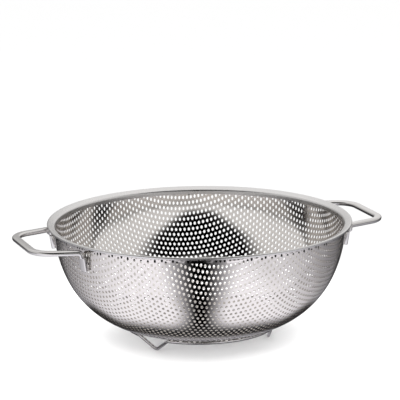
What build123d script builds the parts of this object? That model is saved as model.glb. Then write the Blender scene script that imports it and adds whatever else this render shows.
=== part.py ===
from build123d import *
import os
from math import acos, asin, atan2, ceil, cos, degrees, hypot, radians, sin, sqrt

# A perforated steel colander: drawn bowl, crimped rim band, two bar handles and a wire foot ring.
# Millimetres. The frame stands on the floor under the middle of the bowl, +X through the
# right handle and +Z up.

# Bowl, one sheet drawn deep from a perforated flat blank
sheet = 0.6
mouth_radius = 137.0
base_height = 10.6
wall_lean = 1.9
upper_wall_radius = 122.0
upper_wall_sweep = 22.3
lower_wall_radius = 87.0
flange_bend_radius = 1.2
flange_slope = 21.0

# Rim band, folded over the flange of the bowl
rim_overhang = 6.0
band_sheet = 0.8
band_gap = 0.12
band_leg = 2.8
band_underlap = 2.6

# Perforation of the flat blank. The solid has the same rows of round holes on a coarser scale,
# so that its openings take up as large a share of the sheet.
hole_diameter = 2.8
hole_pitch = 5.0
hole_row_angle = -13.0
coarse_scale = 6
plain_edge = 1.1
cut_overrun = 3.0

# Handles, each one bent bar with its ends twisted flat against the wall
bar_width = 7.4
bar_thickness = 4.4
bar_edge_radius = 1.6
handle_projection = 28.8
handle_half_width = 37.0
handle_drop = 6.2
handle_corner_radius = 20.0
handle_bend_radius = 3.4
handle_stand_off = 3.1
tab_azimuth = 20.0
tab_width = 8.5
tab_thickness = 4.2
tab_edge_radius = 1.4
tab_length = 9.6
tab_twist_length = 4.5
tab_end_radius = 0.8
weld_gap = 0.15

# Foot ring, one closed wire with three V feet
wire_diameter = 3.0
ring_outset = 23.5
foot_count = 3
foot_first_azimuth = 90.0
foot_half_angle = 17.0
foot_tuck = 5.5
foot_bend_radius = 5.0
foot_run = 4.0
ring_gap = 0.1

# Worked out from the sizes above
lower_wall_sweep = 90 - wall_lean - upper_wall_sweep
wall_top_angle = 90 - wall_lean
flange_turn = wall_top_angle - flange_slope
rim_radius = mouth_radius + rim_overhang
base_radius = (
    mouth_radius
    - lower_wall_radius * sin(radians(lower_wall_sweep))
    - upper_wall_radius * (sin(radians(wall_top_angle)) - sin(radians(lower_wall_sweep)))
)
upper_centre_radius = mouth_radius - upper_wall_radius * sin(radians(wall_top_angle))
upper_centre_height = (
    base_height
    + lower_wall_radius * (1 - cos(radians(lower_wall_sweep)))
    + upper_wall_radius * cos(radians(lower_wall_sweep))
)
wall_top_height = upper_centre_height - upper_wall_radius * cos(radians(wall_top_angle))
flange_start_radius = (
    mouth_radius
    + flange_bend_radius * (sin(radians(wall_top_angle)) - sin(radians(flange_slope)))
    - sheet / 2 * sin(radians(flange_slope))
)
hem_radius = sheet / 2 + band_gap + band_sheet
flange_length = (rim_radius - hem_radius - flange_start_radius) / cos(radians(flange_slope))
rim_height = (
    wall_top_height
    + flange_bend_radius * (cos(radians(flange_slope)) - cos(radians(wall_top_angle)))
    + flange_length * sin(radians(flange_slope))
    + sheet / 2 * cos(radians(flange_slope))
)
handle_reach = rim_radius + handle_projection
handle_height = rim_height - handle_drop
root_radius = mouth_radius + weld_gap + handle_stand_off
wire_radius = wire_diameter / 2
ring_radius = base_radius + ring_outset
ring_height = (
    base_height
    + lower_wall_radius
    - sqrt((lower_wall_radius + ring_gap + wire_radius) ** 2 - ring_outset**2)
)
foot_tip_radius = ring_radius - foot_tuck


def spun(lines):
    """The solid that a closed outline of radius and height sweeps about the bowl's axis."""
    return revolve(Plane.XZ * make_face(lines), axis=Axis.Z)


def polar(radius, azimuth, height):
    """A point given by its distance from the axis, its azimuth in degrees and its height."""
    return Vector(radius * cos(radians(azimuth)), radius * sin(radians(azimuth)), height)


def wall_line(inset):
    """Line of the bowl's wall, base first, at a distance inside its outer face."""
    base = Line((0, base_height + inset), (base_radius, base_height + inset))
    lower = JernArc(base @ 1, base % 1, lower_wall_radius - inset, lower_wall_sweep)
    upper = JernArc(lower @ 1, lower % 1, upper_wall_radius - inset, upper_wall_sweep)
    bend = JernArc(upper @ 1, upper % 1, flange_bend_radius + inset, -flange_turn)
    flange = Line(bend @ 1, bend @ 1 + (bend % 1) * flange_length)
    return [base, lower, upper, bend, flange]


def band_line(away):
    """Line of the rim band, inner leg first, at a distance from the sheet that it clasps."""
    top = wall_line(sheet + away)[2]
    leg = Line(top @ 1 - (top % 1) * band_leg, top @ 1)
    bend = JernArc(leg @ 1, leg % 1, flange_bend_radius + sheet + away, -flange_turn)
    lip = Line(bend @ 1, bend @ 1 + (bend % 1) * flange_length)
    hem = JernArc(lip @ 1, lip % 1, sheet / 2 + away, -180)
    under = Line(hem @ 1, hem @ 1 + (hem % 1) * band_underlap)
    return [leg, bend, lip, hem, under]


def between(first, second):
    """Closed outline of the strip between two lines that run the same way."""
    ends = [Line(first[0] @ 0, second[0] @ 0), Line(first[-1] @ 1, second[-1] @ 1)]
    return first + second + ends


def blank_radius_at(angle):
    """Radius in the flat blank of the wall place whose slope is the angle, in degrees.

    Drawing keeps the area of the sheet inside each circle.
    """
    low = radians(min(angle, lower_wall_sweep))
    area = base_radius**2 / 2
    area += base_radius * lower_wall_radius * low + lower_wall_radius**2 * (1 - cos(low))
    if angle > lower_wall_sweep:
        rise = radians(angle - lower_wall_sweep)
        area += upper_centre_radius * upper_wall_radius * rise
        area += upper_wall_radius**2 * (cos(low) - cos(radians(angle)))
    return sqrt(2 * area)


def wall_slope_at(blank_radius):
    """Slope in degrees of the wall place that the blank radius was drawn to."""
    low, high = 0, wall_top_angle
    for step in range(40):
        middle = (low + high) / 2
        if blank_radius_at(middle) < blank_radius:
            low = middle
        else:
            high = middle
    return low


def wall_point(slope):
    """Radius and height of the wall's outer face where it has a slope in degrees."""
    if slope > lower_wall_sweep:
        radius = upper_centre_radius + upper_wall_radius * sin(radians(slope))
        height = upper_centre_height - upper_wall_radius * cos(radians(slope))
    else:
        radius = base_radius + lower_wall_radius * sin(radians(slope))
        height = base_height + lower_wall_radius * (1 - cos(radians(slope)))
    return radius, height


def wall_plane(slope, radius, height, azimuth, away=0):
    """Plane on the wall, its normal pointing out of the bowl and its x axis down the wall."""
    normal = polar(sin(radians(slope)), azimuth, -cos(radians(slope)))
    down = polar(-cos(radians(slope)), azimuth, -sin(radians(slope)))
    return Plane(polar(radius, azimuth, height) + normal * away, x_dir=down, z_dir=normal)


def blank_lattice(pitch, reach):
    """Places, as radius and azimuth, of the hexagonal rows of holes in the flat blank."""
    rows = ceil(reach / pitch / sin(radians(60)))
    columns = ceil(reach / pitch) + rows
    for row in range(-rows, rows + 1):
        for column in range(-columns, columns + 1):
            along = (column + row * cos(radians(60))) * pitch
            across = row * pitch * sin(radians(60))
            if hypot(along, across) < reach:
                yield hypot(along, across), degrees(atan2(across, along)) + hole_row_angle


def weld_places():
    """Places in the flat blank that come to lie behind the middles of the handle tabs."""
    blank_radius = blank_radius_at(tab_slope())
    for side in (0, 180):
        for azimuth in (side - tab_azimuth, side + tab_azimuth):
            yield polar(blank_radius, azimuth, 0)


def hole_cutters():
    """Discs that pierce the wall, stretched as drawing stretched the round holes.

    An opening that a tab would be welded over is left out.
    """
    opening = Circle(coarse_scale * hole_diameter / 2)
    reach = blank_radius_at(wall_top_angle) - plain_edge - opening.radius
    welds = list(weld_places())
    cutters = []
    for blank_radius, azimuth in blank_lattice(coarse_scale * hole_pitch, reach):
        middle = polar(blank_radius, azimuth, 0)
        if min((middle - weld).length for weld in welds) < opening.radius:
            continue
        slope, radius, height, hoop = 0, blank_radius, base_height, 1
        if blank_radius > base_radius:
            slope = wall_slope_at(blank_radius)
            radius, height = wall_point(slope)
            hoop = radius / blank_radius
        plane = wall_plane(slope, radius, height, azimuth, cut_overrun)
        drawn = plane * scale(opening, by=(1 / hoop, hoop, 1))
        cutters.append(extrude(drawn, amount=-(sheet + 2 * cut_overrun)))
    return cutters


def perforated_bowl():
    """The drawn bowl with its flange, pierced by its rows of openings."""
    return spun(between(wall_line(0), wall_line(sheet))) - hole_cutters()


def rim_band():
    """The plain band folded over the flange, so that no cut edge is left at the mouth."""
    return spun(between(band_line(band_gap), band_line(band_gap + band_sheet)))


def carried(section, path):
    """The pieces of a section carried along each straight run and each bend of a path."""
    pieces = []
    for edge in path.edges():
        if edge.geom_type == GeomType.LINE:
            piece = extrude(section, amount=edge.length, dir=edge % 0)
        else:
            axis = Axis(edge.arc_center, (edge % 0).cross(edge % 1))
            turn = degrees(edge.length / edge.radius)
            piece = revolve(section, axis=axis, revolution_arc=turn)
        section = piece.faces().sort_by_distance(edge @ 1)[0]
        pieces.append(piece)
    return pieces


def fused(pieces):
    """One solid of pieces that meet face to face."""
    return pieces[0].fuse(*pieces[1:]).clean()


def tab_slope():
    """Slope in degrees of the wall behind the middle of a tab."""
    middle = handle_height - handle_bend_radius - tab_twist_length - tab_length / 2
    return degrees(acos((upper_centre_height - middle) / upper_wall_radius))


def tab_plane():
    """Plane through the middle of the far tab, its x axis down the wall."""
    slope = tab_slope()
    radius, height = wall_point(slope)
    return wall_plane(slope, radius, height, tab_azimuth, weld_gap + tab_thickness / 2)


def half_handle():
    """Far half of the right handle, from its tab on the wall to the middle of the outer bar."""
    root = polar(root_radius, tab_azimuth, handle_height)
    corner = Vector(handle_reach, handle_half_width, handle_height)
    arm = (corner - root).normalized()
    across = Vector(-arm.Y, arm.X, 0)
    drop = Vector(0, 0, handle_bend_radius + bar_edge_radius / 2)
    end = Vector(handle_reach, 0, handle_height)
    bends = [handle_bend_radius, handle_corner_radius]
    path = FilletPolyline(root - drop, root, corner, end, radius=bends)
    start = Plane(root - drop, x_dir=across, z_dir=Vector(0, 0, 1))
    bar = start * RectangleRounded(bar_width, bar_thickness, bar_edge_radius)
    pieces = carried(bar, path)

    plane = tab_plane()
    top = Plane(plane.origin - plane.x_dir * tab_length / 2, x_dir=plane.y_dir, z_dir=plane.x_dir)
    flat = top * RectangleRounded(tab_width, tab_thickness, tab_edge_radius)
    twist = loft([bar.face(), flat.face()])
    tab = extrude(flat, amount=tab_length, dir=plane.x_dir)
    tab = fillet(tab.faces().sort_by(Axis.Z)[0].edges(), tab_end_radius)
    return fused(pieces + [twist, tab])


def handle():
    """Right handle: a bar bent down at both ends into tabs twisted flat against the wall."""
    far = half_handle()
    return fused([far, mirror(far, about=Plane.XZ)])


def foot_path(azimuth):
    """Path of one V foot, from the end of one arc of the ring to the start of the next."""
    ends = []
    for side in (-1, 1):
        start = polar(ring_radius, azimuth + side * foot_half_angle, ring_height)
        along = polar(foot_run, azimuth + side * (foot_half_angle - 90), 0)
        ends.append((start, start + along))
    first, second = ends[0][1], ends[1][1]
    low = polar(foot_tip_radius, azimuth, wire_radius)
    middle = (first + second) / 2
    up = (middle - low).normalized()
    bend_centre = low + up * foot_bend_radius
    reach = first - bend_centre
    opening = degrees(atan2((second - first).length / 2, (middle - bend_centre).length))
    opening -= degrees(asin(foot_bend_radius / reach.length))
    corner = bend_centre - up * foot_bend_radius / sin(radians(opening))
    return FilletPolyline(ends[0][0], first, corner, second, ends[1][0], radius=foot_bend_radius)


def foot_ring():
    """One wire, bent into three V feet between three arcs that lie under the bowl."""
    pieces = []
    spacing = 360 / foot_count
    for number in range(foot_count):
        azimuth = foot_first_azimuth + number * spacing
        foot = foot_path(azimuth)
        start = azimuth + foot_half_angle
        arc = CenterArc((0, 0, ring_height), ring_radius, start, spacing - 2 * foot_half_angle)
        for path in (foot, arc):
            section = Plane(path @ 0, z_dir=path % 0) * Circle(wire_radius)
            pieces += carried(section, path)
    return fused(pieces)


right_handle = handle()
parts = {
    "perforated_bowl": perforated_bowl(),
    "rim_band": rim_band(),
    "handle_right": right_handle,
    "handle_left": right_handle.rotate(Axis.Z, 180),
    "foot_ring": foot_ring(),
}
os.makedirs("parts", exist_ok=True)
for name, solid in parts.items():
    export_step(solid, f"parts/{name}.step")
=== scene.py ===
from math import acos, asin, atan2, ceil, cos, pi, radians, sin, sqrt, tan

import bmesh
import bpy
import numpy as np
from mathutils import Matrix, Vector


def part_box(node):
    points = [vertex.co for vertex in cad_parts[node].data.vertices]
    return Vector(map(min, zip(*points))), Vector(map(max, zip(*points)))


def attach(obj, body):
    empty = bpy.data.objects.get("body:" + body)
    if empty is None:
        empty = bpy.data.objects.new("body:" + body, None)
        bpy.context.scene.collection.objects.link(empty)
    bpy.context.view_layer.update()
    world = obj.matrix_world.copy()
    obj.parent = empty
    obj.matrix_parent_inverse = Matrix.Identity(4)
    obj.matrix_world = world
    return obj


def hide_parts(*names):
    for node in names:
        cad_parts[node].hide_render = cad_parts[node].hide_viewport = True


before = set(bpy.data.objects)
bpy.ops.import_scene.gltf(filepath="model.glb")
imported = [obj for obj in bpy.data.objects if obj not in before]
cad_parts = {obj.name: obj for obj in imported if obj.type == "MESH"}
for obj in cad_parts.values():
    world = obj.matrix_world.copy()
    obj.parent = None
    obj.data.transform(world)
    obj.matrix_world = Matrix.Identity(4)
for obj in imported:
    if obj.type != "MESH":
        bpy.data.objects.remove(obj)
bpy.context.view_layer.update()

# Metres throughout. The bowl stands on z = 0 with +X through the right handle.
MM = 0.001
bowl_low, bowl_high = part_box("perforated_bowl")
handle_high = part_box("handle_right")[1]

# Bowl, as drawn from its flat perforated blank
sheet = 0.6 * MM
mouth_radius = 137.0 * MM
base_height = bowl_low.z
wall_lean = radians(1.9)
upper_wall_radius = 122.0 * MM
upper_wall_sweep = radians(22.3)
lower_wall_radius = 87.0 * MM
flange_bend_radius = 1.2 * MM
flange_slope = radians(21.0)
flange_end_radius = bowl_high.x

# Perforation of the blank
hole_diameter = 2.7 * MM
hole_pitch = 5.0 * MM
hole_row_angle = radians(-13.0)
hole_sides = 8
plain_edge = 1.5 * MM
rim_segments = 240
border_rings = 4
merge_distance = 0.002 * MM
newton_steps = 8
# Share of the pitch that every corner of a cell lies beyond, and its hole doesn't reach
corner_share = 0.45
# The slanted grid of holes needs more rows than the blank's radius holds
row_surplus = 1.5
bowl_crease_angle = radians(60)

# Rim band, folded over the flange of the bowl
band_sheet = 0.8 * MM
band_gap = 0.12 * MM
band_leg = 2.8 * MM
band_underlap = 2.6 * MM
band_segments = 288
arc_step = radians(9)
crease_angle = radians(45)

# Handles, each one bent bar with its ends twisted flat against the wall
bar_width = 7.4 * MM
bar_thickness = 4.4 * MM
bar_edge_radius = 2.0 * MM
handle_half_width = 37.0 * MM
handle_corner_radius = 20.0 * MM
handle_bend_radius = 3.4 * MM
handle_stand_off = 3.1 * MM
tab_azimuth = radians(20.0)
tab_width = 8.5 * MM
tab_thickness = 4.2 * MM
tab_edge_radius = 1.4 * MM
tab_length = 12.1 * MM
tab_twist_length = 2.0 * MM
tab_end_radius = 0.8 * MM
weld_gap = 0.15 * MM
edge_steps = 6
twist_steps = 10

# Foot ring, one closed wire with three V feet
wire_radius = 1.5 * MM
ring_outset = 23.5 * MM
foot_count = 3
foot_first_azimuth = radians(90)
foot_half_angle = radians(17)
foot_tuck = 5.5 * MM
foot_bend_radius = 5.0 * MM
foot_run = 4.0 * MM
ring_gap = 0.1 * MM
wire_sides = 20

# Finishes: widths, lengths and depths of their lines, and roughness from the finest to the dullest
smudge_size = 18.0 * MM
smudge_detail = 3.0
line_detail = 2.0
line_span = (0.25, 0.75)
line_tone = 0.94
wear_span = (0.7, 1.3)
sheet_colour = (0.68, 0.655, 0.63)
polish_width = 0.35 * MM
polish_length = 14.0 * MM
polish_depth = 0.0012 * MM
polish_rough = (0.08, 0.13)
band_colour = (0.61, 0.605, 0.6)
brush_width = 0.2 * MM
brush_length = 10.0 * MM
brush_depth = 0.004 * MM
brush_rough = (0.24, 0.34)
# Painted shade inside the rim band's fold: the length it fades in over, and how dark it gets
fold_shade_fade = 0.4 * MM
fold_shade_tone = 0.03
bar_colour = (0.62, 0.61, 0.6)
drawing_width = 0.3 * MM
drawing_length = 9.0 * MM
drawing_depth = 0.002 * MM
drawing_rough = (0.12, 0.2)

# Camera of the photograph
picture_size = 400
camera_azimuth = radians(-20.6)
camera_elevation = radians(13.198)
camera_roll = radians(-0.604)
camera_distance = 2153.0 * MM
camera_target = Vector((0.62 * MM, -0.23 * MM, 130.9 * MM))
focal_pixels = 2298.5
sensor_width = 36.0

# Floor, its colour a painted pool of light round the bowl that dims far off, and even light
stage_reach = 20000.0 * MM
floor_tone = 0.92
floor_far_painted_dim_tone = 0.44
floor_painted_light_fade = (140.0 * MM, 340.0 * MM)
floor_roughness = 0.9
world_light = 2.4

# Table card: its light by the angle round the bowl from the camera's side
card_drop = 1.0 * MM
table_tint = (1.0, 0.985, 1.05, 1)
table_front_light = 1.32
table_side_light = 0.36
table_side_fade = (radians(40), radians(115))
table_back_light = 0.06
table_back_fade = (radians(110), radians(135))
table_right_share = 0.8
table_right_fade = (80.0 * MM, 240.0 * MM)

# Dark wedge of the table card, from under the bowl towards the camera
wedge_start = 138.0 * MM
wedge_half_width = 18.0 * MM
wedge_spread = 0.34
wedge_edge_fade = (0.25, 2.3)
wedge_end_fade = (80.0 * MM, 100.0 * MM)

# Shade of the bowl on the table card, wider to the sides and paler in the middle
shade_light = 0.03
shade_fade = (90.0 * MM, 122.0 * MM)
shade_side_turn = (radians(60), radians(95))
shade_side_shift = 30.0 * MM
middle_light = 0.42
middle_fade = (64.0 * MM, 80.0 * MM)

# Dome card: its light by height and by the angle from the camera's side
dome_radius = 1000.0 * MM
dome_subdivisions = 4
dome_tint = (1.0, 0.985, 0.98, 1)
dome_back_turn = (radians(115), radians(155))
front_light = 0.86
front_top_light = 1.15
front_top_fade = (800.0 * MM, 950.0 * MM)
back_left_light = 0.55
back_right_light = 0.98
back_side_fade = (-200.0 * MM, 200.0 * MM)
back_foot_share = 0.05
back_foot_fade = (60.0 * MM, 200.0 * MM)
back_top_light = 1.2
back_top_fade = (300.0 * MM, 700.0 * MM)
side_light = 0.05
side_start_turn = (radians(50), radians(72))
side_end_turn = (radians(130), radians(160))
side_top_fade = (60.0 * MM, 330.0 * MM)

# Dark gap of the dome card over the camera, between its side panels
gap_foot = 100.0 * MM
gap_spread = 1.35
gap_half_width = 640.0 * MM
gap_edge_fade = (-120.0 * MM, 120.0 * MM)
gap_near_fade = (0.0, 300.0 * MM)
gap_foot_fade = (200.0 * MM, 300.0 * MM)
gap_top_fade = (880.0 * MM, 990.0 * MM)

# Worked out from the sizes above
wall_top_angle = pi / 2 - wall_lean
lower_wall_sweep = wall_top_angle - upper_wall_sweep
base_radius = (
    mouth_radius
    - lower_wall_radius * sin(lower_wall_sweep)
    - upper_wall_radius * (sin(wall_top_angle) - sin(lower_wall_sweep))
)
upper_centre_radius = mouth_radius - upper_wall_radius * sin(wall_top_angle)
upper_centre_height = (
    base_height
    + lower_wall_radius * (1 - cos(lower_wall_sweep))
    + upper_wall_radius * cos(lower_wall_sweep)
)
flange_turn = wall_top_angle - flange_slope
bend_length = flange_bend_radius * flange_turn
handle_height = handle_high.z - bar_thickness / 2
handle_reach = handle_high.x - bar_width / 2
root_radius = mouth_radius + weld_gap + handle_stand_off
ring_radius = base_radius + ring_outset
ring_height = (
    base_height
    + lower_wall_radius
    - sqrt((lower_wall_radius + ring_gap + wire_radius) ** 2 - ring_outset**2)
)
foot_tip_radius = ring_radius - foot_tuck


def place(tree, kind, inputs=None, **settings):
    """Adds a node. An input is a plain value, or the output socket that it is linked from."""
    node = tree.nodes.new(kind)
    for name, value in settings.items():
        setattr(node, name, value)
    for key, value in (inputs or {}).items():
        if isinstance(value, bpy.types.NodeSocket):
            tree.links.new(value, node.inputs[key])
        else:
            node.inputs[key].default_value = value
    return node


def worked(tree, operation, *values):
    """Output of a math node on values or sockets."""
    return place(tree, "ShaderNodeMath", dict(enumerate(values)), operation=operation).outputs[0]


def product(tree, *factors):
    """Output with the product of several values."""
    result = factors[0]
    for factor in factors[1:]:
        result = worked(tree, "MULTIPLY", result, factor)
    return result


def parts_of(tree, vector):
    """Outputs with the three parts of a vector."""
    return place(tree, "ShaderNodeSeparateXYZ", {0: vector}).outputs


def length_of(tree, vector):
    """Output with the length of a vector."""
    return place(tree, "ShaderNodeVectorMath", {0: vector}, operation="LENGTH").outputs["Value"]


def added(tree, *parts):
    """Output of a node that joins geometries."""
    join = place(tree, "GeometryNodeJoinGeometry")
    for part in parts:
        tree.links.new(part, join.inputs[0])
    return join.outputs[0]


def rotated(tree, vector, angle):
    """Output of a node that turns a vector about the axis."""
    return place(tree, "ShaderNodeVectorRotate", {"Vector": vector, "Angle": angle}).outputs[0]


def merged(tree, distance, *parts):
    """Output of a node that joins meshes along the points that they share."""
    inputs = {"Geometry": added(tree, *parts), "Distance": distance}
    return place(tree, "GeometryNodeMergeByDistance", inputs).outputs[0]


def copied(tree, instance, points, selection, angle):
    """Output of a node that copies a geometry to points, all turned by one angle."""
    turn = place(tree, "FunctionNodeAxisAngleToRotation", {"Axis": (0, 0, 1), "Angle": angle})
    copies = place(
        tree,
        "GeometryNodeInstanceOnPoints",
        {"Points": points, "Selection": selection, "Instance": instance, "Rotation": turn.outputs[0]},
    )
    return place(tree, "GeometryNodeRealizeInstances", {0: copies.outputs[0]}).outputs[0]


def add_cell(tree, given, outline):
    """Output with one cell of the rows: a rhombus of sheet with its hole, its corners marked."""
    pitch = given["Hole pitch"]
    rhombus = place(
        tree,
        "GeometryNodeCurvePrimitiveQuadrilateral",
        {
            "Width": pitch,
            "Height": worked(tree, "MULTIPLY", pitch, sin(pi / 3)),
            "Offset": worked(tree, "MULTIPLY", pitch, cos(pi / 3)),
        },
        mode="PARALLELOGRAM",
    ).outputs[0]
    cell = place(tree, "GeometryNodeFillCurve", {"Curve": added(tree, rhombus, outline)}).outputs[0]
    point = place(tree, "GeometryNodeInputPosition").outputs[0]
    distance = length_of(tree, point)
    corner = worked(tree, "GREATER_THAN", distance, worked(tree, "MULTIPLY", pitch, corner_share))
    return place(
        tree,
        "GeometryNodeStoreNamedAttribute",
        {"Geometry": cell, "Name": "corner", "Value": corner},
        data_type="BOOLEAN",
        domain="POINT",
    ).outputs[0]


def add_border(tree, given):
    """Output with the plain border of the blank, in rings of quads."""
    strip = place(
        tree,
        "GeometryNodeMeshGrid",
        {
            "Size X": 1.0,
            "Size Y": 1.0,
            "Vertices X": worked(tree, "ADD", given["Segments"], 1),
            "Vertices Y": worked(tree, "ADD", given["Border rings"], 1),
        },
    ).outputs["Mesh"]
    point = place(tree, "GeometryNodeInputPosition").outputs[0]
    x, y = parts_of(tree, point)[:2]
    azimuth = worked(tree, "MULTIPLY", x, -2 * pi)
    outwards = worked(tree, "MULTIPLY", worked(tree, "ADD", y, 0.5), given["Border"])
    radius = worked(tree, "ADD", given["Holed edge radius"], outwards)
    ring_x = worked(tree, "MULTIPLY", radius, worked(tree, "COSINE", azimuth))
    ring_y = worked(tree, "MULTIPLY", radius, worked(tree, "SINE", azimuth))
    ring = place(tree, "ShaderNodeCombineXYZ", {"X": ring_x, "Y": ring_y}).outputs[0]
    return place(tree, "GeometryNodeSetPosition", {"Geometry": strip, "Position": ring}).outputs[0]


def blank_tree():
    """Geometry tree of the flat blank: all its holes, a plain border and the sheet's thickness."""
    tree = bpy.data.node_groups.new("perforated blank", "GeometryNodeTree")
    for name, kind in {
        "Hole radius": "NodeSocketFloat",
        "Hole pitch": "NodeSocketFloat",
        "Row angle": "NodeSocketFloat",
        "Hole sides": "NodeSocketInt",
        "Rows": "NodeSocketInt",
        "Cell radius": "NodeSocketFloat",
        "Holed radius": "NodeSocketFloat",
        "Holed edge radius": "NodeSocketFloat",
        "Border": "NodeSocketFloat",
        "Border rings": "NodeSocketInt",
        "Segments": "NodeSocketInt",
        "Sheet": "NodeSocketFloat",
        "Merge distance": "NodeSocketFloat",
        "Material": "NodeSocketMaterial",
    }.items():
        tree.interface.new_socket(name, in_out="INPUT", socket_type=kind)
    tree.interface.new_socket("Blank", in_out="OUTPUT", socket_type="NodeSocketGeometry")
    given = place(tree, "NodeGroupInput").outputs
    joint = given["Merge distance"]

    span = worked(tree, "MULTIPLY", given["Hole pitch"], worked(tree, "SUBTRACT", given["Rows"], 1))
    counts = {"Vertices X": given["Rows"], "Vertices Y": given["Rows"]}
    grid = place(tree, "GeometryNodeMeshGrid", {"Size X": span, "Size Y": span, **counts})
    point = place(tree, "GeometryNodeInputPosition").outputs[0]
    x, y = parts_of(tree, point)[:2]
    along = worked(tree, "ADD", x, worked(tree, "MULTIPLY", y, cos(pi / 3)))
    across = worked(tree, "MULTIPLY", y, sin(pi / 3))
    slanted = place(tree, "ShaderNodeCombineXYZ", {"X": along, "Y": across}).outputs[0]
    turned = rotated(tree, slanted, given["Row angle"])
    spread = {"Geometry": grid.outputs["Mesh"], "Position": turned}
    rows = place(tree, "GeometryNodeSetPosition", spread).outputs[0]

    distance = length_of(tree, point)
    in_cells = worked(tree, "LESS_THAN", distance, given["Cell radius"])
    holed = worked(tree, "LESS_THAN", distance, given["Holed radius"])
    in_edge = worked(tree, "SUBTRACT", holed, in_cells)
    circle = {"Resolution": given["Hole sides"], "Radius": given["Hole radius"]}
    outline = place(tree, "GeometryNodeCurvePrimitiveCircle", circle).outputs[0]
    cells = copied(tree, add_cell(tree, given, outline), rows, in_cells, given["Row angle"])
    cells = merged(tree, joint, cells)
    edge_holes = copied(tree, outline, rows, in_edge, given["Row angle"])

    marked = place(tree, "GeometryNodeInputNamedAttribute", {"Name": "corner"}, data_type="BOOLEAN")
    faces = place(tree, "GeometryNodeInputMeshEdgeNeighbors").outputs[0]
    open_edge = worked(tree, "LESS_THAN", faces, 2)
    ragged = worked(tree, "MULTIPLY", open_edge, marked.outputs[0])
    ragged = place(tree, "GeometryNodeMeshToCurve", {"Mesh": cells, "Selection": ragged}).outputs[0]
    circle = {"Resolution": given["Segments"], "Radius": given["Holed edge radius"]}
    round_edge = place(tree, "GeometryNodeCurvePrimitiveCircle", circle).outputs[0]
    outlines = added(tree, ragged, edge_holes, round_edge)
    edge = place(tree, "GeometryNodeFillCurve", {"Curve": outlines}).outputs[0]

    flat = merged(tree, joint, cells, edge, add_border(tree, given))
    raised = place(
        tree,
        "GeometryNodeExtrudeMesh",
        {"Mesh": flat, "Offset": (0, 0, 1), "Offset Scale": given["Sheet"], "Individual": False},
    ).outputs["Mesh"]
    under = place(tree, "GeometryNodeFlipFaces", {"Mesh": flat}).outputs[0]
    closed = merged(tree, joint, raised, under)
    plain = place(tree, "GeometryNodeRealizeInstances", {0: closed}).outputs[0]
    finish = {"Geometry": plain, "Material": given["Material"]}
    finished = place(tree, "GeometryNodeSetMaterial", finish).outputs[0]
    tree.links.new(finished, place(tree, "NodeGroupOutput").inputs[0])
    return tree


def grown(tree, sizes, name):
    """The plain mesh that a geometry tree makes from its sizes."""
    holder = bpy.data.objects.new(name, bpy.data.meshes.new(name))
    bpy.context.scene.collection.objects.link(holder)
    growth = holder.modifiers.new(name, "NODES")
    growth.node_group = tree
    for item in tree.interface.items_tree:
        if item.in_out == "INPUT":
            growth[item.identifier] = sizes[item.name]
    graph = bpy.context.evaluated_depsgraph_get()
    mesh = bpy.data.meshes.new_from_object(holder.evaluated_get(graph))
    bpy.data.objects.remove(holder)
    mesh.name = name
    return mesh


def arc_area(centre_radius, radius, start, angle):
    """Area over 2 pi that an arc of the wall sweeps about the axis between two slopes."""
    return centre_radius * radius * (angle - start) + radius**2 * (np.cos(start) - np.cos(angle))


def arc_slope(blank_radius, start_blank_radius, centre_radius, radius, start):
    """Slope on an arc of the wall where it has used up the blank's area, by Newton's method."""
    wanted = (blank_radius**2 - start_blank_radius**2) / 2
    angle = start + (blank_radius - start_blank_radius) / radius
    for step in range(newton_steps):
        over = arc_area(centre_radius, radius, start, angle) - wanted
        angle = angle - over / (radius * (centre_radius + radius * np.sin(angle)))
    return angle


knuckle_blank_radius = sqrt(
    base_radius**2 + 2 * arc_area(base_radius, lower_wall_radius, 0.0, lower_wall_sweep)
)
wall_blank_radius = sqrt(
    knuckle_blank_radius**2
    + 2 * arc_area(upper_centre_radius, upper_wall_radius, lower_wall_sweep, wall_top_angle)
)
flange_blank_radius = wall_blank_radius + bend_length


def wall_point(slope):
    """Radius and height of the wall's outer face at a slope."""
    upper = slope > lower_wall_sweep
    radius = np.where(
        upper,
        upper_centre_radius + upper_wall_radius * np.sin(slope),
        base_radius + lower_wall_radius * np.sin(slope),
    )
    height = np.where(
        upper,
        upper_centre_height - upper_wall_radius * np.cos(slope),
        base_height + lower_wall_radius * (1 - np.cos(slope)),
    )
    return radius, height


bend_centre_radius = mouth_radius + flange_bend_radius * sin(wall_top_angle)
bend_centre_height = float(wall_point(wall_top_angle)[1]) - flange_bend_radius * cos(wall_top_angle)
flange_root_radius = bend_centre_radius - flange_bend_radius * sin(flange_slope)
flange_length = (flange_end_radius - flange_root_radius) / cos(flange_slope)


def drawn_profile(blank_radius):
    """Radius, height and slope of the outer face where drawing takes each radius of the blank."""
    slope = np.zeros_like(blank_radius)
    lower = (blank_radius > base_radius) & (blank_radius <= knuckle_blank_radius)
    upper = (blank_radius > knuckle_blank_radius) & (blank_radius <= wall_blank_radius)
    slope[lower] = arc_slope(blank_radius[lower], base_radius, base_radius, lower_wall_radius, 0.0)
    slope[upper] = arc_slope(
        blank_radius[upper],
        knuckle_blank_radius,
        upper_centre_radius,
        upper_wall_radius,
        lower_wall_sweep,
    )
    radius, height = wall_point(slope)
    flat = blank_radius <= base_radius
    radius[flat] = blank_radius[flat]
    border = blank_radius > wall_blank_radius
    past = blank_radius[border] - wall_blank_radius
    bent = np.minimum(past / bend_length, 1.0) * flange_turn
    slope[border] = wall_top_angle - bent
    straight = np.maximum(past - bend_length, 0.0)
    radius[border] = bend_centre_radius - flange_bend_radius * np.sin(slope[border])
    radius[border] += straight * cos(flange_slope)
    height[border] = bend_centre_height + flange_bend_radius * np.cos(slope[border])
    height[border] += straight * sin(flange_slope)
    return radius, height, slope


def points_of(mesh):
    """The mesh's points as rows of an array."""
    points = np.empty(len(mesh.vertices) * 3)
    mesh.vertices.foreach_get("co", points)
    return points.reshape(-1, 3)


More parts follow.
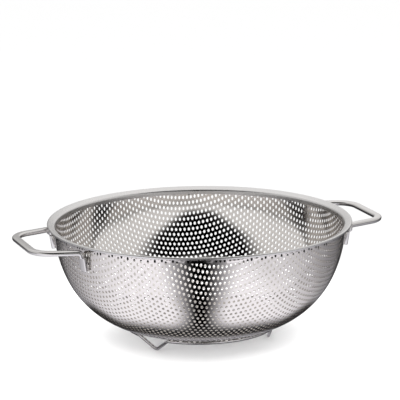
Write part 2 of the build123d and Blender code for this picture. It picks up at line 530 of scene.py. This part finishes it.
def make_bowl(material):
    """The bowl, drawn from its blank: each point goes up the wall and keeps its depth in the sheet."""
    sizes = {
        "Hole radius": hole_diameter / 2 * sqrt(2 * pi / hole_sides / sin(2 * pi / hole_sides)),
        "Hole pitch": hole_pitch,
        "Row angle": hole_row_angle,
        "Hole sides": hole_sides,
        "Rows": 2 * int(wall_blank_radius / hole_pitch / sin(pi / 3) * row_surplus) + 1,
        "Cell radius": flange_blank_radius - plain_edge - hole_pitch,
        "Holed radius": flange_blank_radius - plain_edge,
        "Holed edge radius": flange_blank_radius,
        "Border": flange_length,
        "Border rings": border_rings,
        "Segments": rim_segments,
        "Sheet": sheet,
        "Merge distance": merge_distance,
        "Material": material,
    }
    mesh = grown(blank_tree(), sizes, "bowl")
    blank = points_of(mesh)
    azimuth = np.arctan2(blank[:, 1], blank[:, 0])
    radius, height, slope = drawn_profile(np.hypot(blank[:, 0], blank[:, 1]))
    outwards = np.stack((np.cos(azimuth), np.sin(azimuth)), axis=1)
    inner_normal = np.empty_like(blank)
    inner_normal[:, :2] = -np.sin(slope)[:, None] * outwards
    inner_normal[:, 2] = np.cos(slope)
    drawn = np.empty_like(blank)
    drawn[:, :2] = radius[:, None] * outwards
    drawn[:, 2] = height
    drawn += inner_normal * blank[:, 2:]
    mesh.vertices.foreach_set("co", drawn.astype(np.float32).ravel())

    inner = blank[:, 2] > sheet / 2
    corners = np.empty(len(mesh.loops), int)
    mesh.loops.foreach_get("vertex_index", corners)
    starts = np.empty(len(mesh.polygons), int)
    mesh.polygons.foreach_get("loop_start", starts)
    totals = np.empty(len(mesh.polygons), int)
    mesh.polygons.foreach_get("loop_total", totals)
    face_of_corner = np.repeat(np.arange(len(starts)), totals)
    inner_share = np.bincount(face_of_corner, inner[corners]) / totals
    normals = np.zeros((len(corners), 3))
    inner_corner = inner_share[face_of_corner] == 1
    outer_corner = inner_share[face_of_corner] == 0
    normals[inner_corner] = inner_normal[corners[inner_corner]]
    normals[outer_corner] = -inner_normal[corners[outer_corner]]
    mesh.update()
    mesh.polygons.foreach_set("use_smooth", np.ones(len(starts), bool))
    mesh.set_sharp_from_angle(angle=bowl_crease_angle)
    mesh.normals_split_custom_set(normals)
    mesh.update()
    return linked("drawn_bowl", mesh)


def linked(name, mesh):
    """An object of the mesh, in the scene."""
    piece = bpy.data.objects.new(name, mesh)
    bpy.context.scene.collection.objects.link(piece)
    return piece


def polar(radius, azimuth, height):
    """A point given by its distance from the axis, its azimuth and its height."""
    return Vector((radius * cos(azimuth), radius * sin(azimuth), height))


def lengths_along(points, axis):
    """Running length along one axis of a grid of points, from its first row."""
    steps = np.linalg.norm(np.diff(points, axis=axis), axis=2)
    return np.insert(np.cumsum(steps, axis=axis), 0, 0, axis=axis)


def skinned(name, rings, closed, material):
    """A closed skin from each ring of points to the next. Its map holds lengths along and around."""
    if closed:
        rings = np.concatenate((rings, rings[:1]))
    wrapped = np.concatenate((rings, rings[:, :1]), axis=1)
    layout = np.stack((lengths_along(wrapped, 0), lengths_along(wrapped, 1)), axis=2)
    shell = bmesh.new()
    count, sides = rings.shape[0] - closed, rings.shape[1]
    points = [[shell.verts.new(point) for point in ring] for ring in rings[:count]]
    spread = shell.loops.layers.uv.new("lengths")
    for ring in range(count if closed else count - 1):
        for side in range(sides):
            places = ((ring, side), (ring, side + 1), (ring + 1, side + 1), (ring + 1, side))
            face = shell.faces.new([points[row % count][column % sides] for row, column in places])
            for corner, place_in in zip(face.loops, places):
                corner[spread].uv = layout[place_in]
    if not closed:
        shell.faces.new(points[0])
        shell.faces.new(points[-1])
    bmesh.ops.recalc_face_normals(shell, faces=shell.faces)
    mesh = bpy.data.meshes.new(name)
    shell.to_mesh(mesh)
    shell.free()
    mesh.polygons.foreach_set("use_smooth", np.ones(len(mesh.polygons), bool))
    mesh.set_sharp_from_angle(angle=crease_angle)
    mesh.materials.append(material)
    return linked(name, mesh)


def arc_angles(start, end):
    """Angles from start to end in even steps."""
    return np.linspace(start, end, ceil(abs(end - start) / arc_step) + 1)


def band_line(away):
    """Rim band's line at a distance from the flange it clasps, as rows of radius and height."""
    inset = sheet + away
    way = np.array((cos(flange_slope), sin(flange_slope)))
    angles = arc_angles(wall_top_angle, flange_slope)
    bend = np.stack((-np.sin(angles), np.cos(angles)), axis=1) * (flange_bend_radius + inset)
    bend += (bend_centre_radius, bend_centre_height)
    leg = bend[:1] - band_leg * np.array((cos(wall_top_angle), sin(wall_top_angle)))
    hem_centre = bend[-1] + way * flange_length + (sheet / 2 - inset) * np.array((-way[1], way[0]))
    angles = arc_angles(flange_slope, flange_slope - pi)
    hem = np.stack((-np.sin(angles), np.cos(angles)), axis=1) * (sheet / 2 + away) + hem_centre
    under = hem[-1:] - way * band_underlap
    return np.concatenate((leg, bend, hem, under))


def band_outside_length():
    """Length of the rim band's section on its outer side."""
    return float(np.linalg.norm(np.diff(band_line(band_gap + band_sheet), axis=0), axis=1).sum())


def make_rim_band(material):
    """The plain band folded over the flange."""
    outline = np.concatenate((band_line(band_gap + band_sheet), band_line(band_gap)[::-1]))
    azimuths = np.linspace(0, 2 * pi, band_segments, endpoint=False)[:, None]
    radii, heights = outline[:, 0], np.broadcast_to(outline[:, 1], (band_segments, len(outline)))
    rings = np.stack((radii * np.cos(azimuths), radii * np.sin(azimuths), heights), axis=2)
    return skinned("folded_rim", rings, True, material)


def rounded_path(corners, radii):
    """Points of straight runs whose corners are rounded, and the way that the path runs there."""
    points = [corners[0]]
    ways = [(corners[1] - corners[0]).normalized()]
    for before, corner, after, radius in zip(corners, corners[1:], corners[2:], radii):
        first = (corner - before).normalized()
        turn = first.angle(after - corner)
        axis = first.cross(after - corner).normalized()
        inwards = axis.cross(first) * radius
        centre = corner - first * radius * tan(turn / 2) + inwards
        for angle in arc_angles(0, turn):
            spin = Matrix.Rotation(angle, 3, axis)
            points.append(centre - spin @ inwards)
            ways.append(spin @ first)
    points.append(corners[-1])
    ways.append((corners[-1] - corners[-2]).normalized())
    return points, ways


def carried(outline, points, ways, across):
    """Rings of an outline carried along a path, the first of them turned to face across."""
    rings = []
    for point, way in zip(points, ways):
        across = (across - way * across.dot(way)).normalized()
        rings.append(ring_of(outline, point, across, across.cross(way)))
    return np.array(rings)


def ring_of(outline, point, across, outwards):
    """An outline's points about a point in space."""
    return [point + across * aside + outwards * out for aside, out in outline]


def bar_outline(width, thickness, edge_radius):
    """Outline of a bar with rounded edges, as places across and outwards."""
    outline = []
    for quarter in range(4):
        side = 1 if quarter in (0, 3) else -1
        face = 1 if quarter in (0, 1) else -1
        for angle in np.linspace(0, pi / 2, edge_steps) + quarter * pi / 2:
            across = side * (width / 2 - edge_radius) + edge_radius * cos(angle)
            out = face * (thickness / 2 - edge_radius) + edge_radius * sin(angle)
            outline.append((across, out))
    return outline


def tab_rings():
    """Rings of a tab, from its rounded end up the wall to where the twist starts."""
    middle = handle_height - handle_bend_radius - tab_twist_length - tab_length / 2
    slope = acos((upper_centre_height - middle) / upper_wall_radius)
    radius, height = wall_point(slope)
    outwards = polar(sin(slope), tab_azimuth, -cos(slope))
    upwards = polar(cos(slope), tab_azimuth, sin(slope))
    across = upwards.cross(outwards)
    centre = polar(float(radius), tab_azimuth, float(height))
    centre += outwards * (weld_gap + tab_thickness / 2) - upwards * tab_length / 2
    rings = []
    for angle in np.linspace(pi / 2, 0, edge_steps):
        inset = tab_end_radius * (1 - cos(angle))
        edge_radius = tab_edge_radius - inset
        outline = bar_outline(tab_width - 2 * inset, tab_thickness - 2 * inset, edge_radius)
        rise = upwards * tab_end_radius * (1 - sin(angle))
        rings.append(ring_of(outline, centre + rise, across, outwards))
    outline = bar_outline(tab_width, tab_thickness, tab_edge_radius)
    rings.append(ring_of(outline, centre + upwards * tab_length, across, outwards))
    return np.array(rings), upwards


def half_handle():
    """Rings of the right handle's far half, from its tab to the middle of the outer bar."""
    root = polar(root_radius, tab_azimuth, handle_height)
    corner = Vector((handle_reach, handle_half_width, handle_height))
    arm = (corner - root).normalized()
    drop = Vector((0, 0, handle_bend_radius + bar_edge_radius / 2))
    corners = [root - drop, root, corner, Vector((handle_reach, 0, handle_height))]
    points, ways = rounded_path(corners, [handle_bend_radius, handle_corner_radius])
    outline = bar_outline(bar_width, bar_thickness, bar_edge_radius)
    bar = carried(outline, points, ways, Vector((-arm.y, arm.x, 0)))
    tab, upwards = tab_rings()
    twist = []
    for share in np.linspace(0, 1, twist_steps)[1:-1]:
        blend = share * share * (3 - 2 * share)
        from_tab = tab[-1] + np.array(upwards) * share * tab_twist_length
        to_bar = bar[0] - np.array((0, 0, 1)) * (1 - share) * tab_twist_length
        twist.append(from_tab * (1 - blend) + to_bar * blend)
    return np.concatenate((tab, twist, bar))


def make_handle(name, side, material):
    """One handle: a bar bent down at both ends into tabs twisted flat against the wall."""
    far = half_handle()
    rings = np.concatenate((far, far[-2::-1] * (1, -1, 1)))
    return skinned(name, rings * (side, side, 1), False, material)


def foot_path(azimuth):
    """Path of one V foot, from the end of one arc of the ring to the start of the next."""
    ends = []
    for side in (-1, 1):
        start = polar(ring_radius, azimuth + side * foot_half_angle, ring_height)
        ends.append((start, start + polar(foot_run, azimuth + side * (foot_half_angle - pi / 2), 0)))
    first, second = ends[0][1], ends[1][1]
    low = polar(foot_tip_radius, azimuth, wire_radius)
    middle = (first + second) / 2
    up = (middle - low).normalized()
    bend_centre = low + up * foot_bend_radius
    opening = atan2((second - first).length / 2, (middle - bend_centre).length)
    opening -= asin(foot_bend_radius / (first - bend_centre).length)
    corner = bend_centre - up * foot_bend_radius / sin(opening)
    return rounded_path([ends[0][0], first, corner, second, ends[1][0]], [foot_bend_radius] * 3)


def make_foot_ring(material):
    """One wire, bent into three V feet between three arcs that lie under the bowl."""
    points, ways = [], []
    spacing = 2 * pi / foot_count
    for number in range(foot_count):
        azimuth = foot_first_azimuth + number * spacing
        foot_points, foot_ways = foot_path(azimuth)
        points += foot_points
        ways += foot_ways
        start = azimuth + foot_half_angle
        for turned in arc_angles(start, start + spacing - 2 * foot_half_angle)[1:-1]:
            points.append(polar(ring_radius, turned, ring_height))
            ways.append(polar(1, turned + pi / 2, 0))
    outline = [(wire_radius * cos(turn), wire_radius * sin(turn))
               for turn in np.linspace(0, 2 * pi, wire_sides, endpoint=False)]
    return skinned("bent_foot_wire", carried(outline, points, ways, Vector((0, 0, 1))), True, material)


def ramp(tree, value, span, start, end):
    """Output that goes smoothly from start to end as the value runs through a span."""
    inputs = {"Value": value, "From Min": span[0], "From Max": span[1], "To Min": start, "To Max": end}
    node = place(tree, "ShaderNodeMapRange", inputs, interpolation_type="SMOOTHSTEP")
    return node.outputs["Result"]


def mixed(tree, share, first, second):
    """Output between two values, by the share of the second."""
    return place(tree, "ShaderNodeMix", {0: share, 2: first, 3: second}).outputs[0]


def new_material(name):
    """A material with its tree, its principled shader and that shader's inputs."""
    material = bpy.data.materials.new(name)
    material.use_nodes = True
    shader = material.node_tree.nodes["Principled BSDF"]
    return material, material.node_tree, shader.inputs


def from_axis(tree, x, y):
    """Output with the distance from the axis."""
    squares = [worked(tree, "MULTIPLY", side, side) for side in (x, y)]
    return worked(tree, "SQRT", worked(tree, "ADD", *squares))


def grain(tree, places, sizes, detail):
    """Output of a noise from 0 to 1 whose grains have a size along each of three places."""
    parts = [worked(tree, "MULTIPLY", where, 1 / size) for where, size in zip(places, sizes)]
    vector = place(tree, "ShaderNodeCombineXYZ", dict(zip("XYZ", parts))).outputs[0]
    inputs = {"Vector": vector, "Scale": 1.0, "Detail": detail}
    return place(tree, "ShaderNodeTexNoise", inputs, noise_dimensions="3D").outputs[0]


def round_lines(tree, width, length):
    """Outputs with fine lines that run round the axis, and with smudges."""
    point = place(tree, "ShaderNodeTexCoord").outputs["Object"]
    x, y, z = parts_of(tree, point)
    outwards = worked(tree, "ADD", from_axis(tree, x, y), z)
    lines = grain(tree, (x, y, outwards), (length, length, width), line_detail)
    return lines, grain(tree, (x, y, z), [smudge_size] * 3, smudge_detail)


def skin_lengths(tree):
    """Outputs with the lengths along and around a skinned piece."""
    return parts_of(tree, place(tree, "ShaderNodeUVMap", uv_map="lengths").outputs[0])[:2]


def finish_metal(tree, surface, colour, shade, rough, lines, smudges, depth):
    """Metal whose lines and smudges change its colour and roughness a little, and its surface. Its
    shade darkens the colour as painted shade.
    """
    surface["Metallic"].default_value = 1.0
    tone = worked(tree, "MULTIPLY", shade, ramp(tree, lines, line_span, line_tone, 1.0))
    tint = place(tree, "ShaderNodeVectorMath", {0: colour, "Scale": tone}, operation="SCALE")
    tree.links.new(tint.outputs[0], surface["Base Color"])
    low, high = rough
    wear = worked(tree, "ADD", lines, smudges)
    tree.links.new(ramp(tree, wear, wear_span, low, high), surface["Roughness"])
    bump = place(tree, "ShaderNodeBump", {"Height": lines, "Strength": 1.0, "Distance": depth})
    tree.links.new(bump.outputs[0], surface["Normal"])


def polished_steel():
    """Polished stainless sheet, with faint lines round the axis from polishing."""
    material, tree, surface = new_material("polished steel")
    lines, smudges = round_lines(tree, polish_width, polish_length)
    finish_metal(tree, surface, sheet_colour, 1.0, polish_rough, lines, smudges, polish_depth)
    return material


def satin_steel(fold_start):
    """Stainless strip brushed round the rim, darkened inside its fold by painted shade."""
    material, tree, surface = new_material("satin steel")
    lines, smudges = round_lines(tree, brush_width, brush_length)
    along, around = skin_lengths(tree)
    # Painted shade: the band's side inside its fold is darkened
    shade = ramp(tree, around, (fold_start, fold_start + fold_shade_fade), 1.0, fold_shade_tone)
    finish_metal(tree, surface, band_colour, shade, brush_rough, lines, smudges, brush_depth)
    return material


def bar_steel():
    """Polished stainless bar and wire, with faint lines along it from drawing."""
    material, tree, surface = new_material("bar steel")
    places = (*skin_lengths(tree), 0.0)
    lines = grain(tree, places, (drawing_length, drawing_width, 1.0), line_detail)
    smudges = grain(tree, places, [smudge_size] * 3, smudge_detail)
    finish_metal(tree, surface, bar_colour, 1.0, drawing_rough, lines, smudges, drawing_depth)
    return material


def make_camera():
    """Camera at the photograph's place."""
    back = Vector(
        (
            sin(camera_azimuth) * cos(camera_elevation),
            -cos(camera_azimuth) * cos(camera_elevation),
            sin(camera_elevation),
        )
    )
    right = Vector((cos(camera_azimuth), sin(camera_azimuth), 0))
    up = back.cross(right)
    rolled_right = right * cos(camera_roll) + up * sin(camera_roll)
    rolled_up = up * cos(camera_roll) - right * sin(camera_roll)
    turn = Matrix((rolled_right, rolled_up, back)).transposed()
    data = bpy.data.cameras.new("photo camera")
    data.sensor_width = sensor_width
    data.lens = focal_pixels / picture_size * sensor_width
    camera = bpy.data.objects.new("photo camera", data)
    camera.matrix_world = Matrix.Translation(camera_target + back * camera_distance) @ turn.to_4x4()
    bpy.context.scene.collection.objects.link(camera)
    bpy.context.scene.camera = camera


def flat_square(name, height):
    """Mesh of a level square, so wide that its edge is out of sight."""
    mesh = bpy.data.meshes.new(name)
    sides = ((-stage_reach, -stage_reach), (stage_reach, -stage_reach),
             (stage_reach, stage_reach), (-stage_reach, stage_reach))
    mesh.from_pydata([(x, y, height) for x, y in sides], [], [(0, 1, 2, 3)])
    return mesh


def make_floor():
    """Pale floor with a painted pool of light: brighter round the bowl, a little darker away from it.
    Reflections see the table card in its place.
    """
    mesh = flat_square("floor", 0)
    floor = linked("floor", mesh)
    material, tree, surface = new_material("floor white")
    distance = length_of(tree, place(tree, "ShaderNodeTexCoord").outputs["Object"])
    # Painted light: the floor's colour fades from bright round the bowl to dim far off
    tree.links.new(ramp(tree, distance, floor_painted_light_fade, floor_tone, floor_far_painted_dim_tone), surface["Base Color"])
    surface["Roughness"].default_value = floor_roughness
    mesh.materials.append(material)
    floor.visible_glossy = False


def make_world():
    """Even white light from all round. Reflections see the cards in its place."""
    world = bpy.data.worlds.new("studio")
    world.use_nodes = True
    backdrop = world.node_tree.nodes["Background"].inputs
    backdrop["Color"].default_value = (1, 1, 1, 1)
    backdrop["Strength"].default_value = world_light
    world.cycles_visibility.glossy = False
    bpy.context.scene.world = world


def card_frame(tree):
    """Place on a card: to the right of the photograph, towards its camera, and up."""
    point = place(tree, "ShaderNodeTexCoord").outputs["Object"]
    turned = rotated(tree, point, -camera_azimuth)
    right, away, up = parts_of(tree, turned)
    return right, worked(tree, "MULTIPLY", away, -1), up


def turn_from_camera(tree, right, near):
    """Output with the angle about the axis from the side that faces the camera, either way."""
    return worked(tree, "ARCTAN2", worked(tree, "ABSOLUTE", right), near)


def make_card(name, mesh, colour, brightness_of):
    """A card that only reflections see, as bright as the function makes it from place to place."""
    material = bpy.data.materials.new(name)
    material.use_nodes = True
    tree = material.node_tree
    tree.nodes.clear()
    glow = place(tree, "ShaderNodeEmission", {"Color": colour, "Strength": brightness_of(tree)})
    tree.links.new(glow.outputs[0], place(tree, "ShaderNodeOutputMaterial").inputs["Surface"])
    material.cycles.emission_sampling = "NONE"
    mesh.materials.append(material)
    card = linked(name, mesh)
    card.visible_camera = False
    card.visible_diffuse = False
    card.visible_shadow = False
    card.visible_transmission = False


def table_brightness(tree):
    """White table, darker to the sides and under the bowl, with a dark wedge towards the camera."""
    right, near = card_frame(tree)[:2]
    turn = turn_from_camera(tree, right, near)
    light = ramp(tree, turn, table_side_fade, table_front_light, table_side_light)
    light = mixed(tree, ramp(tree, turn, table_back_fade, 0, 1), light, table_back_light)
    light = product(tree, light, ramp(tree, right, table_right_fade, 1, table_right_share))
    past_start = worked(tree, "MAXIMUM", worked(tree, "SUBTRACT", near, wedge_start), 0)
    half_width = worked(tree, "ADD", product(tree, past_start, wedge_spread), wedge_half_width)
    share = worked(tree, "DIVIDE", worked(tree, "ABSOLUTE", right), half_width)
    wedge = product(
        tree,
        ramp(tree, share, wedge_edge_fade, 1, 0),
        ramp(tree, near, wedge_end_fade, 0, 1),
    )
    light = mixed(tree, wedge, light, 0)
    distance = from_axis(tree, right, near)
    covered = worked(tree, "SUBTRACT", distance, ramp(tree, turn, shade_side_turn, 0, shade_side_shift))
    light = mixed(tree, ramp(tree, covered, shade_fade, 1, 0), light, shade_light)
    return mixed(tree, ramp(tree, distance, middle_fade, 1, 0), light, middle_light)


def dome_brightness(tree):
    """Side panels over dark low sides, a dark gap over the camera, and a bright back."""
    right, near, up = card_frame(tree)
    turn = turn_from_camera(tree, right, near)
    low_back = product(
        tree,
        ramp(tree, right, back_side_fade, back_left_light, back_right_light),
        ramp(tree, up, back_foot_fade, back_foot_share, 1),
    )
    back = mixed(tree, ramp(tree, up, back_top_fade, 0, 1), low_back, back_top_light)
    front = mixed(tree, ramp(tree, up, front_top_fade, 0, 1), front_light, front_top_light)
    light = mixed(tree, ramp(tree, turn, dome_back_turn, 0, 1), front, back)
    low_sides = product(
        tree,
        ramp(tree, turn, side_start_turn, 0, 1),
        ramp(tree, turn, side_end_turn, 1, 0),
        ramp(tree, up, side_top_fade, 1, 0),
    )
    light = mixed(tree, low_sides, light, side_light)
    half_width = product(tree, worked(tree, "SUBTRACT", up, gap_foot), gap_spread)
    half_width = worked(tree, "MINIMUM", half_width, gap_half_width)
    inside = worked(tree, "SUBTRACT", half_width, worked(tree, "ABSOLUTE", right))
    gap = product(
        tree,
        ramp(tree, inside, gap_edge_fade, 0, 1),
        ramp(tree, near, gap_near_fade, 0, 1),
        ramp(tree, up, gap_top_fade, 1, 0),
        ramp(tree, up, gap_foot_fade, 0, 1),
    )
    return mixed(tree, gap, light, 0)


def make_cards():
    """The two cards that stand for the studio in reflections: a table and a dome over it."""
    make_card("table card", flat_square("table card", -card_drop), table_tint, table_brightness)
    shell = bmesh.new()
    bmesh.ops.create_icosphere(shell, subdivisions=dome_subdivisions, radius=dome_radius)
    dome = bpy.data.meshes.new("dome card")
    shell.to_mesh(dome)
    shell.free()
    make_card("dome card", dome, dome_tint, dome_brightness)


bpy.context.scene.view_settings.view_transform = "Standard"
make_camera()
make_floor()
make_world()
make_cards()

bar = bar_steel()
pieces = {
    "perforated_bowl": (make_bowl(polished_steel()), "polished_sheet"),
    "rim_band": (make_rim_band(satin_steel(band_outside_length())), "satin_band"),
    "handle_right": (make_handle("right_handle_bar", 1, bar), "handle_bar"),
    "handle_left": (make_handle("left_handle_bar", -1, bar), "handle_bar"),
    "foot_ring": (make_foot_ring(bar), "foot_wire"),
}
for node, (piece, slot) in pieces.items():
    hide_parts(node)
    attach(piece, "root")
